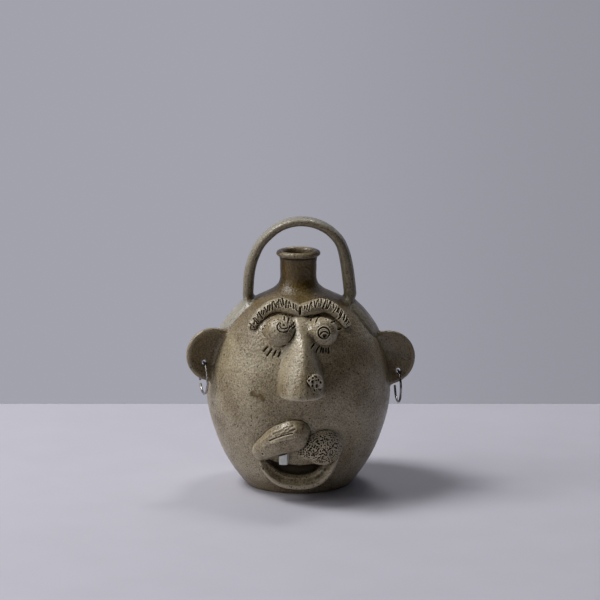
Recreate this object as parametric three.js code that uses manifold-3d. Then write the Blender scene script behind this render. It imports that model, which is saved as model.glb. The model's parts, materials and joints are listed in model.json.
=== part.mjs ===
// A face jug: a thrown stoneware jug with a strap handle over its mouth and a comic face stuck on in clay.
// Millimetres, +Z up. The foot stands on z = 0 with the jug's axis on the z axis, and the face looks along
// -Y. Left and right are the viewer's, looking at the face.

import * as THREE from "three";
import { mergeVertices } from "three/addons/utils/BufferGeometryUtils.js";
import Module from "manifold-3d";

const wasm = await Module();
wasm.setup();

// The thrown jug
const footRadius = 49;
const bellyRadius = 85.6;
const bellyHeight = 90;
const shoulderHeight = 192; // where the shoulder turns up into the neck
const neckRadius = 17.2;
const neckLength = 11; // from the shoulder to where the neck flares
const flareLength = 17; // from there to the top of the lip
const lipRadius = 20.7;
const boreRadius = 13.7;
const bodyWall = 6;
const floorThickness = 7;

// The luting gap between a stuck-on piece and what carries it
const jointGap = 0.3;

// The strap handle
const springDrop = 14; // from the shoulder's top down to where the legs leave the wall
const handleRise = 73; // from there to the top of the arch
const handleStandOff = 11.8; // from the wall to the middle of a leg
const handleThickness = 9;
const leftLegThickness = 10.6;
const rightLegThickness = 12.4;
const handleDepth = 22;
const rootLength = 36; // how far a root is smeared down the shoulder
const rootDepth = 46;
const leftRootThickness = 3;
const rightRootThickness = 6;

// The cupped ears. Azimuths go round the jug in degrees from the front towards +X; a yaw turns an ear about
// the vertical, and the hole for its hoop lies out towards the rim and down.
const earThickness = 6.4;
const earDish = 5;
const leftEar = {
  side: -1,
  azimuth: -71.5,
  heightShare: 0.66,
  radius: 25.6,
  standOff: 4.2,
  yaw: 15,
  outShare: 0.303,
  downShare: 0.298,
};
const rightEar = {
  side: 1,
  azimuth: 84.5,
  heightShare: 0.624,
  radius: 26,
  standOff: 2.2,
  yaw: 9.5,
  outShare: 0.38,
  downShare: 0.5,
};

// The hoops, and the clearance round the wire in its hole
const hoopDiameter = 32;
const hoopWire = 2.3;
const hoopGap = 0.5; // between the wire's two ends
const hoopPlay = 1.05;

// The brow coil
const browHalfWidth = 8.5;
const browHalfThickness = 6.8;

// The eyes, each with a pushed-in iris ring and pupil, whose places are shares of the eye's radius
const eyeBulge = 12.6;
const irisRadius = 5.4;
const irisGroove = 0.9;
const pupilRadius = 1.5;
const leftEye = {
  azimuth: -14.6,
  heightShare: 0.808,
  radius: 14.6,
  irisShares: [0.3, 0.5],
  pupilShares: [0.36, 0.62],
};
const rightEye = {
  azimuth: 20.7,
  heightShare: 0.806,
  radius: 13.8,
  irisShares: [-0.27, 0.08],
  pupilShares: [-0.2, -0.16],
};

// The nose, a wedge with a square end, and the lump on its right side
const noseAzimuth = 2;
const noseTopShare = 0.862;
const noseLength = 64.7;
const noseHalfWidth = 21.5;
const noseReach = 27;
const wartRow = 4; // it sits between this row of the nose's table and the next
const wartRowShare = 0.2; // and this far on towards the next
const wartTurn = 52; // round the nose's section from its right side towards the ridge
const wartRadius = 9.2;
const wartBulge = 3.1;

// The lips and the tooth
const upperLipHalfHeight = 15.5;
const upperLipReach = 15;
const pittedLipHalfHeight = 17.5;
const pittedLipReach = 14;
const lowerLipHalfWidth = 5.2;
const lowerLipReach = 16;
const lowerLipLean = -2.4; // how far up its outer edge stands from its middle
const toothAzimuth = -9.5;
const toothShare = 0.222;
const toothWidth = 8.2;
const toothHeight = 14.4;
const toothReach = 9;

// How finely the round forms are cut
const bodySegments = 60;
const wallSteps = 300;
const innerRings = 9;
const coilSides = 12;
const noseSides = 20;
const earSegments = 32;
const hoopSides = 8;
const hoopSteps = 36;
const archSteps = 33;

const springHeight = shoulderHeight - springDrop;
const lipHeight = shoulderHeight + neckLength + flareLength;
const degrees = Math.PI / 180;

const finish = (name, color, roughness, metalness) =>
  new THREE.MeshStandardMaterial({ name, color, roughness, metalness });
const stoneware = finish("stoneware", 0x83786a, 0.55, 0);
const handleGlaze = finish("handle_glaze", 0x8b8a7c, 0.5, 0);
const whiteGlaze = finish("white_glaze", 0xb9bcb6, 0.35, 0);
const brightWire = finish("bright_wire", 0xb8b8b8, 0.25, 1);

// A solid that can be cut and joined, from any closed geometry.
function solid(geometry) {
  const bare = geometry.clone();
  bare.deleteAttribute("normal");
  bare.deleteAttribute("uv");
  const merged = mergeVertices(bare);
  const positions = merged.getAttribute("position");
  const corners = [];
  let volume = 0;
  for (let first = 0; first < merged.index.count; first += 3) {
    const triangle = [0, 1, 2].map((k) => merged.index.getX(first + k));
    if (new Set(triangle).size < 3) continue; // a triangle folded flat at an axis
    corners.push(...triangle);
    const at = (corner) => new THREE.Vector3().fromBufferAttribute(positions, corner);
    const [a, b, c] = triangle.map(at);
    volume += a.dot(b.cross(c));
  }
  if (volume < 0) corners.reverse();
  const mesh = new wasm.Mesh({
    numProp: 3,
    vertProperties: new Float32Array(positions.array),
    triVerts: new Uint32Array(corners),
  });
  return new wasm.Manifold(mesh);
}

// The largest body of a solid, without the crumbs that a cut can leave.
function largest(shape) {
  return shape.decompose().reduce((best, piece) => (piece.volume() > best.volume() ? piece : best));
}

function namedMesh(name, shape, material) {
  const mesh = largest(shape).getMesh();
  const geometry = new THREE.BufferGeometry();
  const positions = new Float32Array(mesh.vertProperties);
  geometry.setAttribute("position", new THREE.BufferAttribute(positions, mesh.numProp));
  geometry.setIndex(new THREE.BufferAttribute(new Uint32Array(mesh.triVerts), 1));
  geometry.computeVertexNormals();
  const piece = new THREE.Mesh(geometry, material);
  piece.name = name;
  return piece;
}

// A closed skin through a row of rings that all have the same number of points, with a fan over each end.
function skin(rings) {
  const sides = rings[0].length;
  const points = rings.flat();
  const index = [];
  for (let row = 0; row + 1 < rings.length; row++) {
    for (let side = 0; side < sides; side++) {
      const here = row * sides + side;
      const beside = row * sides + ((side + 1) % sides);
      index.push(here, beside, here + sides);
      index.push(beside, beside + sides, here + sides);
    }
  }
  const lastRow = (rings.length - 1) * sides;
  for (const [first, order] of [[0, -1], [lastRow, 1]]) {
    const middle = points.length;
    const end = points.slice(first, first + sides);
    points.push(end.reduce((total, point) => total.add(point), new THREE.Vector3()).divideScalar(sides));
    for (let side = 0; side < sides; side++) {
      const edge = [first + side, first + ((side + 1) % sides)];
      index.push(middle, ...(order < 0 ? edge.reverse() : edge));
    }
  }
  const geometry = new THREE.BufferGeometry().setFromPoints(points);
  geometry.setIndex(index);
  return geometry;
}

// A point at an angle on a superellipse, which can be bowed back at its two sides and lean to one side.
function sectionPoint({ centre, across, up, halfWidth, halfHeight, power = 2, bow = 0, lean = 0 }, angle) {
  const share = (wave) => Math.sign(wave) * Math.abs(wave) ** (2 / power);
  const wide = share(Math.cos(angle));
  const high = share(Math.sin(angle));
  return centre
    .clone()
    .addScaledVector(across, halfWidth * wide + lean * high)
    .addScaledVector(up, halfHeight * high - bow * wide * wide);
}

function ring(section, sides = coilSides) {
  const turn = (2 * Math.PI) / sides;
  return Array.from({ length: sides }, (_, side) => sectionPoint(section, (side + 0.5) * turn));
}

// A table's rows blended into more rows, by a smooth curve through each column.
function blendRows(rows, count) {
  return Array.from({ length: count }, (_, k) => {
    const at = (k / (count - 1)) * (rows.length - 1);
    const row = Math.min(Math.floor(at), rows.length - 2);
    const t = at - row;
    const pick = (index) => rows[THREE.MathUtils.clamp(index, 0, rows.length - 1)];
    const [before, start, end, after] = [pick(row - 1), pick(row), pick(row + 1), pick(row + 2)];
    return start.map((value, column) => {
      const leave = (end[column] - before[column]) / 2;
      const arrive = (after[column] - value) / 2;
      const bend = 2 * (value - end[column]) + leave + arrive;
      const turn = 3 * (end[column] - value) - 2 * leave - arrive;
      return value + leave * t + turn * t ** 2 + bend * t ** 3;
    });
  });
}

// The outside of the jug. Below the belly a row is [share of the belly's height, share of the way from the
// foot's radius to the belly's]; above it [share of the height from belly to neck, share of the way from
// the neck's radius to the belly's].
const lowerWallShares = [
  [0, 0], [0.09, 0.18], [0.2, 0.37], [0.333, 0.56], [0.5, 0.738], [0.667, 0.874], [0.833, 0.97],
];
const upperWallShares = [
  [0, 1], [0.147, 0.982], [0.294, 0.936], [0.42, 0.87], [0.51, 0.812], [0.588, 0.747], [0.657, 0.67],
  [0.716, 0.59], [0.765, 0.508], [0.824, 0.374], [0.872, 0.229], [0.914, 0.11], [0.957, 0.035], [1, 0.004],
];
const lowerWall = lowerWallShares.map(([rise, out]) => {
  const radius = THREE.MathUtils.lerp(footRadius, bellyRadius, out);
  return new THREE.Vector2(radius, rise * bellyHeight);
});
const upperWall = upperWallShares.map(
  ([rise, out]) =>
    new THREE.Vector2(
      THREE.MathUtils.lerp(neckRadius, bellyRadius, out),
      THREE.MathUtils.lerp(bellyHeight, shoulderHeight, rise),
    ),
);
const wallCurve = new THREE.SplineCurve([...lowerWall, ...upperWall]);
const wallPoints = wallCurve.getSpacedPoints(wallSteps);

function wallRadius(z) {
  const above = wallPoints.findIndex((point) => point.y > z);
  if (above === 0) return footRadius;
  if (above < 0) return neckRadius;
  const [low, high] = [wallPoints[above - 1], wallPoints[above]];
  return THREE.MathUtils.mapLinear(z, low.y, high.y, low.x, high.x);
}

// A place on the jug's outside, with its frame: radial is level and away from the axis, out is square to the
// wall, east is level round the jug towards +X, and north is up the wall.
function wallPlace(azimuth, height) {
  const reach = shoulderHeight / 100;
  const slope = (wallRadius(height + reach) - wallRadius(height - reach)) / (2 * reach);
  const radial = new THREE.Vector3(Math.sin(azimuth * degrees), -Math.cos(azimuth * degrees), 0);
  const east = new THREE.Vector3(-radial.y, radial.x, 0);
  const out = radial.clone().setZ(-slope).normalize();
  const north = out.clone().cross(east);
  const point = radial.clone().multiplyScalar(wallRadius(height)).setZ(height);
  return { point, radial, out, east, north };
}

function lathe(profile, segments) {
  return solid(new THREE.LatheGeometry(profile, segments).rotateX(Math.PI / 2));
}

// The lip is a rolled collar. Its section starts under the collar and ends at the bore.
function outerProfile() {
  const lipRoll = (lipRadius - boreRadius) / 2;
  const flareHeight = shoulderHeight + neckLength;
  const underRadius = THREE.MathUtils.lerp(neckRadius, lipRadius, 0.14);
  const underCollar = new THREE.Vector2(underRadius, lipHeight - 2.5 * lipRoll);
  const roll = Array.from({ length: 6 }, (_, k) => {
    const angle = ((k - 1) * Math.PI) / 4;
    const out = boreRadius + lipRoll * (1 + Math.cos(angle));
    return new THREE.Vector2(out, lipHeight + lipRoll * (Math.sin(angle) - 1));
  });
  return [...lowerWall, ...upperWall, new THREE.Vector2(neckRadius, flareHeight), underCollar, ...roll];
}

// The inside, a wall's thickness in from the outside and thinner towards the neck.
function innerProfile() {
  const neckWall = neckRadius - boreRadius;
  const points = [];
  for (let k = 0; k <= innerRings; k++) {
    const share = k / innerRings;
    const outer = wallCurve.getPointAt(share);
    const along = wallCurve.getTangentAt(share);
    const thickness = THREE.MathUtils.mapLinear(outer.x, neckRadius, bellyRadius, neckWall, bodyWall);
    const inner = new THREE.Vector2(outer.x - along.y * thickness, outer.y + along.x * thickness);
    if (inner.y > 1.5 * floorThickness) points.push(inner.setX(Math.max(inner.x, boreRadius)));
  }
  const floorRadius = wallRadius(floorThickness) - bodyWall;
  return [new THREE.Vector2(0, floorThickness), new THREE.Vector2(floorRadius, floorThickness), ...points];
}

function jugBody() {
  return lathe([new THREE.Vector2(0, 0), ...outerProfile(), ...innerProfile().reverse()], bodySegments);
}

// The jug with no hollow, grown all round by the luting gap, which cuts what is stuck on to it.
function jugCutter() {
  const points = outerProfile();
  const grown = points.map((point, k) => {
    const before = points[Math.max(k - 1, 0)];
    const after = points[Math.min(k + 1, points.length - 1)];
    const along = after.clone().sub(before).normalize();
    return new THREE.Vector2(point.x + along.y * jointGap, point.y - along.x * jointGap);
  });
  const bottom = new THREE.Vector2(0, grown[0].y);
  const top = new THREE.Vector2(0, grown[grown.length - 1].y);
  return lathe([bottom, ...grown, top], bodySegments);
}

// The handle's middle line, left foot to right. A row is [share of the half span, share of the rise from the
// spring to the strap's middle at the top].
const archShares = [
  [-1, 0], [-0.985, 0.2], [-0.945, 0.385], [-0.865, 0.55], [-0.745, 0.7], [-0.565, 0.83], [-0.365, 0.93],
  [-0.145, 0.985], [0.085, 1], [0.31, 0.975], [0.525, 0.915], [0.71, 0.815], [0.845, 0.69], [0.925, 0.52],
  [0.97, 0.35], [1.005, 0.17], [1.03, 0],
];
// A root's rows down the shoulder: [share of its length, share of the way from a leg's thickness to the
// root's, and the same for its depth].
const rootShares = [
  [0.2, 0.35, 0.35], [0.4, 0.75, 0.75], [0.62, 0.95, 1], [0.82, 1, 0.9], [0.94, 1, 0.5], [1, 1, 0],
];

function handle(grow) {
  const halfSpan = wallRadius(springHeight) + handleStandOff;
  const rise = handleRise - handleThickness / 2;
  const across = new THREE.Vector3(0, 1, 0);
  const arch = blendRows(archShares, archSteps).map(([side, up]) => {
    const thinning = THREE.MathUtils.smoothstep(up, 0.3, 1);
    const legThickness = side < 0 ? leftLegThickness : rightLegThickness;
    return {
      centre: new THREE.Vector3(side * halfSpan, 0, springHeight + up * rise),
      halfHeight: THREE.MathUtils.lerp(legThickness, handleThickness, thinning) / 2 + grow,
      halfWidth: handleDepth / 2 + grow,
    };
  });
  const root = (side, legThickness, rootThickness) =>
    rootShares.map(([down, thinning, spread]) => {
      const place = wallPlace(side * 90, springHeight - down * rootLength);
      const halfWidth = THREE.MathUtils.lerp(handleDepth, rootDepth, spread) / 2;
      return {
        centre: place.point,
        halfHeight: THREE.MathUtils.lerp(legThickness, rootThickness, thinning) / 2 + grow,
        halfWidth: halfWidth + grow,
        bow: halfWidth ** 2 / (2 * wallRadius(place.point.z)),
      };
    });
  const leftRoot = root(-1, leftLegThickness, leftRootThickness);
  const rightRoot = root(1, rightLegThickness, rightRootThickness);
  const stations = [...leftRoot.reverse(), ...arch, ...rightRoot];
  const rings = stations.map((station, k) => {
    const before = stations[Math.max(k - 1, 0)].centre;
    const after = stations[Math.min(k + 1, stations.length - 1)].centre;
    const up = after.clone().sub(before).normalize().cross(across);
    return ring({ ...station, across, up, power: 2.6 });
  });
  return solid(skin(rings));
}

// Where an ear stands, and its own frame: front is square to the dish, and right is level across it.
function earFrame({ side, azimuth, heightShare, radius, standOff, yaw, outShare, downShare }) {
  const place = wallPlace(azimuth, heightShare * shoulderHeight);
  const centre = place.point.addScaledVector(place.radial, standOff);
  const front = new THREE.Vector3(Math.sin(yaw * degrees), -Math.cos(yaw * degrees), 0);
  const right = new THREE.Vector3(-front.y, front.x, 0);
  const hole = centre
    .clone()
    .addScaledVector(right, side * outShare * radius)
    .addScaledVector(front, -dishDepth(Math.hypot(outShare, downShare) * radius, radius));
  hole.z -= downShare * radius;
  return { centre, front, right, hole };
}

// How far an ear's dish lies behind its rim, at a distance from its middle.
function dishDepth(distance, radius) {
  const dishRadius = radius - earThickness / 2;
  return earDish * Math.max(0, 1 - (distance / dishRadius) ** 2);
}

// A round slab with a rolled rim, dished in front, with the hole for its hoop.
function ear(place) {
  const { centre, hole } = earFrame(place);
  const rimRoll = earThickness / 2;
  const dishRadius = place.radius - rimRoll;
  const face = (offset) =>
    [0, 0.35, 0.65, 0.88].map((share) => {
      const distance = share * dishRadius;
      return new THREE.Vector2(distance, dishDepth(distance, place.radius) + offset);
    });
  const rim = Array.from({ length: 5 }, (_, k) => {
    const angle = ((2 - k) * Math.PI) / 4;
    return new THREE.Vector2(dishRadius + rimRoll * Math.cos(angle), rimRoll * Math.sin(angle));
  });
  const profile = [...face(rimRoll), ...rim, ...face(-rimRoll).reverse()];
  const slab = new THREE.LatheGeometry(profile, earSegments);
  slab.rotateZ(place.yaw * degrees);
  slab.translate(centre.x, centre.y, centre.z);
  const drill = new THREE.CylinderGeometry(holeRadius(), holeRadius(), 4 * earThickness, 16);
  drill.rotateZ(place.yaw * degrees);
  drill.translate(hole.x, hole.y, hole.z);
  return solid(slab).subtract(solid(drill));
}

function holeRadius() {
  return hoopWire / 2 + hoopPlay;
}

// A hoop of round wire whose two ends nearly meet at the back, about the point where it hangs in its hole.
function hoop() {
  const middleRadius = (hoopDiameter - hoopWire) / 2;
  const halfGap = hoopGap / 2 / middleRadius;
  const seam = -20 * degrees;
  const across = new THREE.Vector3(1, 0, 0);
  const rings = Array.from({ length: hoopSteps + 1 }, (_, k) => {
    const angle = seam + halfGap + (k / hoopSteps) * 2 * (Math.PI - halfGap);
    const up = new THREE.Vector3(0, Math.cos(angle), Math.sin(angle));
    const centre = up.clone().multiplyScalar(middleRadius);
    centre.z -= middleRadius;
    return ring({ centre, across, up, halfWidth: hoopWire / 2, halfHeight: hoopWire / 2 }, hoopSides);
  });
  return solid(skin(rings));
}

// A coil or lobe laid on the jug's wall, from rows of [azimuth, share of the shoulder's height, share of the
// half width, share of the half thickness]. Its sections stand square to its run, and reach out from the wall
// between square to it and level.
function wallCoil({ rows, steps, halfWidth, halfThickness, grow = 0, ...shape }) {
  const { level = 0, lift = 0, lean = 0, power = 2 } = shape;
  const places = blendRows(rows, steps).map(([azimuth, heightShare, wide, thick]) => {
    const place = wallPlace(azimuth, heightShare * shoulderHeight);
    const up = place.out.clone().lerp(place.radial, level).normalize();
    return { centre: place.point.addScaledVector(up, lift * thick), up, wide, thick };
  });
  const rings = places.map(({ centre, up, wide, thick }, k) => {
    const before = places[Math.max(k - 1, 0)].centre;
    const after = places[Math.min(k + 1, places.length - 1)].centre;
    const across = up.clone().cross(after.clone().sub(before)).normalize();
    const section = { centre, across, up, power, lean: lean * thick };
    section.halfWidth = halfWidth * wide + grow;
    section.halfHeight = halfThickness * thick + grow;
    return ring(section);
  });
  return solid(skin(rings));
}

const browShares = [
  [-41.5, 0.806, 0.55, 0.62], [-39.5, 0.858, 0.73, 0.82], [-33, 0.893, 0.9, 1], [-22, 0.906, 0.98, 1],
  [-12, 0.904, 1, 1], [-4, 0.896, 0.93, 0.92], [2, 0.89, 0.82, 0.84], [9, 0.895, 0.94, 0.92],
  [19, 0.9, 1.02, 1], [29, 0.902, 1, 1], [37.5, 0.888, 0.92, 1], [42, 0.857, 0.75, 0.84],
  [44.5, 0.812, 0.57, 0.62],
];

function brow(grow) {
  const size = { halfWidth: browHalfWidth, halfThickness: browHalfThickness };
  return wallCoil({ rows: browShares, steps: 30, ...size, lift: 0.2 * browHalfThickness, grow });
}

const upperLipShares = [
  [-33.2, 0.218, 0.18, 0.15], [-30, 0.226, 0.5, 0.42], [-25, 0.243, 0.66, 0.6], [-18, 0.277, 0.8, 0.78],
  [-11, 0.311, 0.94, 0.95], [-3.5, 0.333, 0.98, 1], [2, 0.333, 0.9, 0.9], [5.4, 0.33, 0.62, 0.6],
  [6.8, 0.327, 0.2, 0.2],
];

function upperLipLeft(grow) {
  const size = { halfWidth: upperLipHalfHeight, halfThickness: upperLipReach };
  return wallCoil({ rows: upperLipShares, steps: 22, ...size, level: 0.5, power: 2.3, grow });
}

const pittedLipShares = [
  [-1.5, 0.237, 0.12, 0.2], [4, 0.245, 0.45, 0.6], [7.5, 0.255, 0.74, 0.8], [13, 0.262, 0.94, 1],
  [18, 0.27, 1, 1], [24, 0.272, 0.8, 0.85], [28, 0.272, 0.45, 0.5], [29.8, 0.27, 0.12, 0.15],
];

function upperLipRight(grow) {
  const size = { halfWidth: pittedLipHalfHeight, halfThickness: pittedLipReach };
  return wallCoil({ rows: pittedLipShares, steps: 18, ...size, level: 0.5, power: 2.3, grow });
}

const lowerLipShares = [
  [-27.8, 0.2, 0.4, 0.32], [-24.3, 0.168, 0.58, 0.6], [-18.4, 0.13, 0.78, 0.85], [-11.6, 0.107, 0.94, 0.97],
  [-3, 0.098, 1, 1], [6, 0.099, 1, 1], [13.6, 0.113, 0.98, 0.95], [19.8, 0.147, 0.9, 0.8],
  [23.6, 0.194, 0.76, 0.65], [26.3, 0.245, 0.6, 0.5], [28.4, 0.288, 0.35, 0.3],
];

function lowerLip() {
  const size = { halfWidth: lowerLipHalfWidth, halfThickness: lowerLipReach, lean: lowerLipLean };
  return wallCoil({ rows: lowerLipShares, steps: 28, ...size, level: 0.5, power: 2.2 });
}

// The nose's rows from the brow down: [share of its length, share of the half width, share of the reach,
// squareness of the section, share of the half width that the ridge leans].
const noseShares = [
  [0, 0.14, 0.05, 1.7, 0], [0.12, 0.27, 0.21, 1.5, 0.03], [0.243, 0.43, 0.41, 1.4, 0.06],
  [0.473, 0.68, 0.66, 1.4, 0.08], [0.736, 0.93, 0.88, 1.6, 0.03], [0.923, 1, 1, 2, -0.02],
  [1, 0.97, 0.98, 2.2, -0.02],
];

function noseSection([down, wide, reach, power, lean], grow = 0) {
  const place = wallPlace(noseAzimuth, noseTopShare * shoulderHeight - down * noseLength);
  return {
    centre: place.point,
    across: place.east,
    up: place.radial,
    halfWidth: noseHalfWidth * wide + grow,
    halfHeight: noseReach * reach + grow,
    power,
    lean: noseHalfWidth * lean,
  };
}

function nose(grow) {
  return solid(skin(blendRows(noseShares, 13).map((row) => ring(noseSection(row, grow), noseSides))));
}

// The lump on the nose, pressed on where its section turns to the right.
function noseWart() {
  const nextRow = noseShares[wartRow + 1];
  const row = noseShares[wartRow].map((value, k) => THREE.MathUtils.lerp(value, nextRow[k], wartRowShare));
  const section = noseSection(row);
  const centre = sectionPoint(section, wartTurn * degrees);
  const out = centre.clone().sub(section.centre).normalize();
  return dome({ centre, out, radius: wartRadius, bulge: wartBulge });
}

// A flattened ball about a centre, its short way along out.
function dome({ centre, out, radius, bulge }) {
  const ball = new THREE.SphereGeometry(1, 20, 12);
  ball.rotateX(Math.PI / 2);
  ball.scale(radius, radius, bulge);
  ball.applyQuaternion(new THREE.Quaternion().setFromUnitVectors(new THREE.Vector3(0, 0, 1), out));
  ball.translate(centre.x, centre.y, centre.z);
  return solid(ball);
}

// An eye: a domed ball on the wall, with the iris ring and the pupil pushed in.
function eye({ azimuth, heightShare, radius, irisShares, pupilShares }) {
  const { point, out, east, north } = wallPlace(azimuth, heightShare * shoulderHeight);
  const onBall = ([eastShare, northShare]) => {
    const rise = Math.sqrt(1 - eastShare ** 2 - northShare ** 2);
    const place = point
      .clone()
      .addScaledVector(east, eastShare * radius)
      .addScaledVector(north, northShare * radius)
      .addScaledVector(out, rise * eyeBulge);
    const normal = new THREE.Vector3()
      .addScaledVector(east, eastShare / radius)
      .addScaledVector(north, northShare / radius)
      .addScaledVector(out, rise / eyeBulge)
      .normalize();
    return { place, normal };
  };
  const iris = onBall(irisShares);
  const groove = new THREE.TorusGeometry(irisRadius, irisGroove, 5, 20);
  groove.applyQuaternion(new THREE.Quaternion().setFromUnitVectors(new THREE.Vector3(0, 0, 1), iris.normal));
  groove.translate(iris.place.x, iris.place.y, iris.place.z);
  const pupil = onBall(pupilShares);
  const prick = dome({ centre: pupil.place, out: pupil.normal, radius: pupilRadius, bulge: pupilRadius });
  return dome({ centre: point, out, radius, bulge: eyeBulge }).subtract(solid(groove)).subtract(prick);
}

function tooth() {
  const place = wallPlace(toothAzimuth, toothShare * shoulderHeight);
  const block = new THREE.BoxGeometry(toothWidth, 2 * toothReach, toothHeight);
  block.rotateZ(toothAzimuth * degrees);
  block.translate(place.point.x, place.point.y, place.point.z);
  return solid(block);
}

function hungHoop(name, place) {
  const piece = namedMesh(name, hoop(), brightWire);
  piece.position.copy(earFrame(place).hole);
  piece.rotation.z = place.yaw * degrees;
  return piece;
}

const cutter = jugCutter();
const stuckOn = (shape, ...carriers) =>
  carriers.reduce((cut, carrier) => cut.subtract(carrier), shape.subtract(cutter));

const jug = new THREE.Group();
jug.name = "face_jug";
jug.add(
  namedMesh("jug_body", jugBody(), stoneware),
  namedMesh("handle", stuckOn(handle(0)), handleGlaze),
  namedMesh("ear_left", stuckOn(ear(leftEar), handle(jointGap)), stoneware),
  namedMesh("ear_right", stuckOn(ear(rightEar), handle(jointGap)), stoneware),
  namedMesh("nose", stuckOn(nose(0)), stoneware),
  namedMesh("nose_wart", stuckOn(noseWart(), nose(jointGap)), stoneware),
  namedMesh("brow", stuckOn(brow(0), nose(jointGap)), stoneware),
  namedMesh("eye_left", stuckOn(eye(leftEye), nose(jointGap), brow(jointGap)), stoneware),
  namedMesh("eye_right", stuckOn(eye(rightEye), nose(jointGap), brow(jointGap)), stoneware),
  namedMesh("upper_lip_left", stuckOn(upperLipLeft(0)), stoneware),
  namedMesh("upper_lip_right", stuckOn(upperLipRight(0), upperLipLeft(jointGap)), stoneware),
  namedMesh("lower_lip", stuckOn(lowerLip(), upperLipLeft(jointGap), upperLipRight(jointGap)), stoneware),
  namedMesh("tooth", stuckOn(tooth(), upperLipLeft(jointGap)), whiteGlaze),
  hungHoop("earring_left", leftEar),
  hungHoop("earring_right", rightEar),
);

export default jug;
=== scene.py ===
"""The looks of the face jug: each clay piece as a fine surface, pressed, pitted and smoothed on to the
thrown wall, its salt glaze, the wire hoops, and the studio round them. Lengths are in millimetres until a
mesh is made, but the studio's are in metres."""

import json
import math

import bmesh
import bpy
import numpy as np
import openvdb
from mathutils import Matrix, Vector
from mathutils.bvhtree import BVHTree

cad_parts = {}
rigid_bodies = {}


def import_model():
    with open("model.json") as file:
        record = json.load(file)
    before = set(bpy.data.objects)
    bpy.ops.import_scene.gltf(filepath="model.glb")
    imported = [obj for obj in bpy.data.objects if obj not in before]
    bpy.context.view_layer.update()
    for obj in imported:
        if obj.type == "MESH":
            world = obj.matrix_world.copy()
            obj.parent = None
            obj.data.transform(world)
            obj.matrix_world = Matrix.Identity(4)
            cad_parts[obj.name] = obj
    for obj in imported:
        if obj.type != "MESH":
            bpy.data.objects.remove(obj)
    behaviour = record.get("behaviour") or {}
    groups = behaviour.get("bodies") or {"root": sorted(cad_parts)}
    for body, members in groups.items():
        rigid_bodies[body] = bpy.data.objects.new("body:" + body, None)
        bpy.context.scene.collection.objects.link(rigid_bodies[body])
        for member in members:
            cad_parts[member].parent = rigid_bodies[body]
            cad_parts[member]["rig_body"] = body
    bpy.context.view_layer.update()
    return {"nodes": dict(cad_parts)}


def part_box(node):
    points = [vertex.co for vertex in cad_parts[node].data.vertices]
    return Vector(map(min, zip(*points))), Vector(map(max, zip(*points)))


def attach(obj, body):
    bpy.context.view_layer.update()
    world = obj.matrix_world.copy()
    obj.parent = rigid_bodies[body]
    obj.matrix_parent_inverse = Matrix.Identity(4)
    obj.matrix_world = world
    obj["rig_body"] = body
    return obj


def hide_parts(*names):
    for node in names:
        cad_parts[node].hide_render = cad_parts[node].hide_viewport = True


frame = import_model()

MM = 0.001

# The photograph's side in pixels, and the camera that took it: a long lens, a little above the jug
PHOTO_SIDE = 600
SENSOR = 36
LENS = 216
EYE_DISTANCE = 3333 * MM
EYE_ELEVATION = math.radians(11.3)
AIM = Vector((1.5, 0, 172.4)) * MM


def make_camera():
    camera = bpy.data.objects.new("camera", bpy.data.cameras.new("camera"))
    camera.data.lens = LENS
    camera.data.sensor_width = SENSOR
    camera.data.clip_end = 10 * EYE_DISTANCE
    back = Vector((0, -math.cos(EYE_ELEVATION), math.sin(EYE_ELEVATION)))
    camera.location = AIM + back * EYE_DISTANCE
    camera.rotation_euler = (math.pi / 2 - EYE_ELEVATION, 0, 0)
    bpy.context.collection.objects.link(camera)
    bpy.context.scene.camera = camera
    bpy.context.view_layer.update()
    return camera


camera = make_camera()


def photo_ray(pixel):
    """The camera's place and the direction in which it sees a pixel of the photograph, in mm."""
    across = (pixel[0] - PHOTO_SIDE / 2) / PHOTO_SIDE * SENSOR
    up = (PHOTO_SIDE / 2 - pixel[1]) / PHOTO_SIDE * SENSOR
    turn = camera.matrix_world.to_3x3()
    return camera.location / MM, (turn @ Vector((across, up, -LENS))).normalized()


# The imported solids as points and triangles

WELD = 1e-3  # points nearer to each other than this are one


def packed_form(node, hulled=False):
    """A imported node's points and triangles in mm. With hulled, what is pressed into it is filled again."""
    work = bmesh.new()
    work.from_mesh(frame["nodes"][node].data)
    bmesh.ops.remove_doubles(work, verts=work.verts, dist=WELD * MM)
    if hulled:
        bmesh.ops.convex_hull(work, input=work.verts)
        loose = [vert for vert in work.verts if not vert.link_faces]
        bmesh.ops.delete(work, geom=loose, context="VERTS")
    bmesh.ops.triangulate(work, faces=work.faces)
    work.verts.ensure_lookup_table()
    points = np.array([vert.co for vert in work.verts], np.float32) / MM
    triangles = np.array([[vert.index for vert in face.verts] for face in work.faces], np.uint32)
    work.free()
    return points, triangles


CLAY = (
    "handle", "ear_left", "ear_right", "nose", "nose_wart", "brow", "eye_left", "eye_right",
    "upper_lip_left", "upper_lip_right", "lower_lip", "tooth",
)
EYES = ("eye_left", "eye_right")
forms = {node: packed_form(node, hulled=node in EYES) for node in CLAY}
trees = {
    node: BVHTree.FromPolygons(points.tolist(), triangles.tolist())
    for node, (points, triangles) in forms.items()
}
trees["jug_body"] = BVHTree.FromPolygons(*[part.tolist() for part in packed_form("jug_body")])


# The thrown wall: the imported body's meridian, drawn smooth

OFF_PLANE = 1e-2  # points nearer than this to the jug's middle plane lie in it
OFF_AXIS = 1  # and the meridian's points are further than this from the jug's axis
OUTER_SPACING = 0.6
INNER_SPACING = 4


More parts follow.
